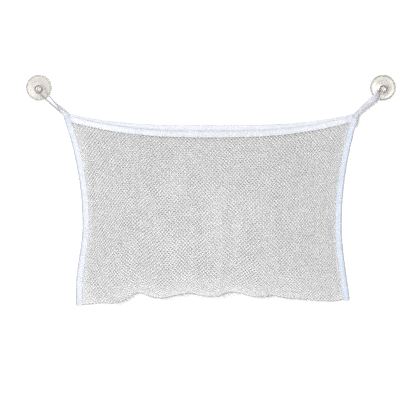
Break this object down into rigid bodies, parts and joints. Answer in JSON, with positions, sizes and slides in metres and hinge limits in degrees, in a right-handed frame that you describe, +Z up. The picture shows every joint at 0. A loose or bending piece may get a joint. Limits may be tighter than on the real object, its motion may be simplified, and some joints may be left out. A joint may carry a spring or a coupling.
{
  "type": "bath toy organizer",
  "caption": "Wide white net bag with folded tape hems and side bindings, open along the top, hung from a wall by tape loops at its top corners on clear suction cups.",
  "frame": {"origin": "on the wall plane, midway between the centres of the two suction cups", "axes": "+X to the right as seen from the room, +Y into the wall, +Z up"},
  "size_m": [0.573, 0.0938, 0.352],
  "materials": {
    "net": "white polyester net with small staggered openings",
    "tape": "white woven polyester tape",
    "thread": "white sewing thread",
    "clear_plastic": "clear soft plastic, glossy"
  },
  "bodies": {
    "wall_cups": {"left_suction_cup": "clear_plastic", "right_suction_cup": "clear_plastic"},
    "left_loop": {"left_hanging_loop": "tape"},
    "right_loop": {"right_hanging_loop": "tape"},
    "corner_stitches": {"left_bar_tack": "thread", "right_bar_tack": "thread"},
    "bag": {"front_net": "net", "back_net": "net", "back_hem": "tape", "left_side_binding": "tape", "right_side_binding": "tape", "left_corner_patch": "tape", "right_corner_patch": "tape"},
    "mouth": {"front_hem": "tape", "front_net_edge": "net"}
  },
  "joints": [
    {"name": "left_loop_turn", "type": "hinge", "parent": "wall_cups", "child": "left_loop", "pos_m": [-0.2665, -0.01425, 0], "axis": [0, 1, 0], "range_deg": [-6, 6]},
    {"name": "right_loop_turn", "type": "hinge", "parent": "wall_cups", "child": "right_loop", "pos_m": [0.2665, -0.01425, 0], "axis": [0, 1, 0], "range_deg": [-6.1, 6.1]},
    {"name": "corner_turn", "type": "hinge", "parent": "left_loop", "child": "corner_stitches", "pos_m": [-0.2215, -0.01425, -0.044], "axis": [0, 1, 0], "range_deg": [-7.3, 7.3]},
    {"name": "bag_swing", "type": "hinge", "parent": "corner_stitches", "child": "bag", "pos_m": [0, -0.01425, -0.044], "axis": [-1, 0, 0], "range_deg": [0, 80]},
    {"name": "mouth_open", "type": "hinge", "parent": "bag", "child": "mouth", "pos_m": [0, -0.01425, -0.044], "axis": [-1, 0, 0], "range_deg": [0, 35]}
  ],
  "couplings": [
    {"joint": "right_loop_turn", "follows": "left_loop_turn", "ratio": 1},
    {"joint": "corner_turn", "follows": "left_loop_turn", "ratio": -1.2032}
  ]
}
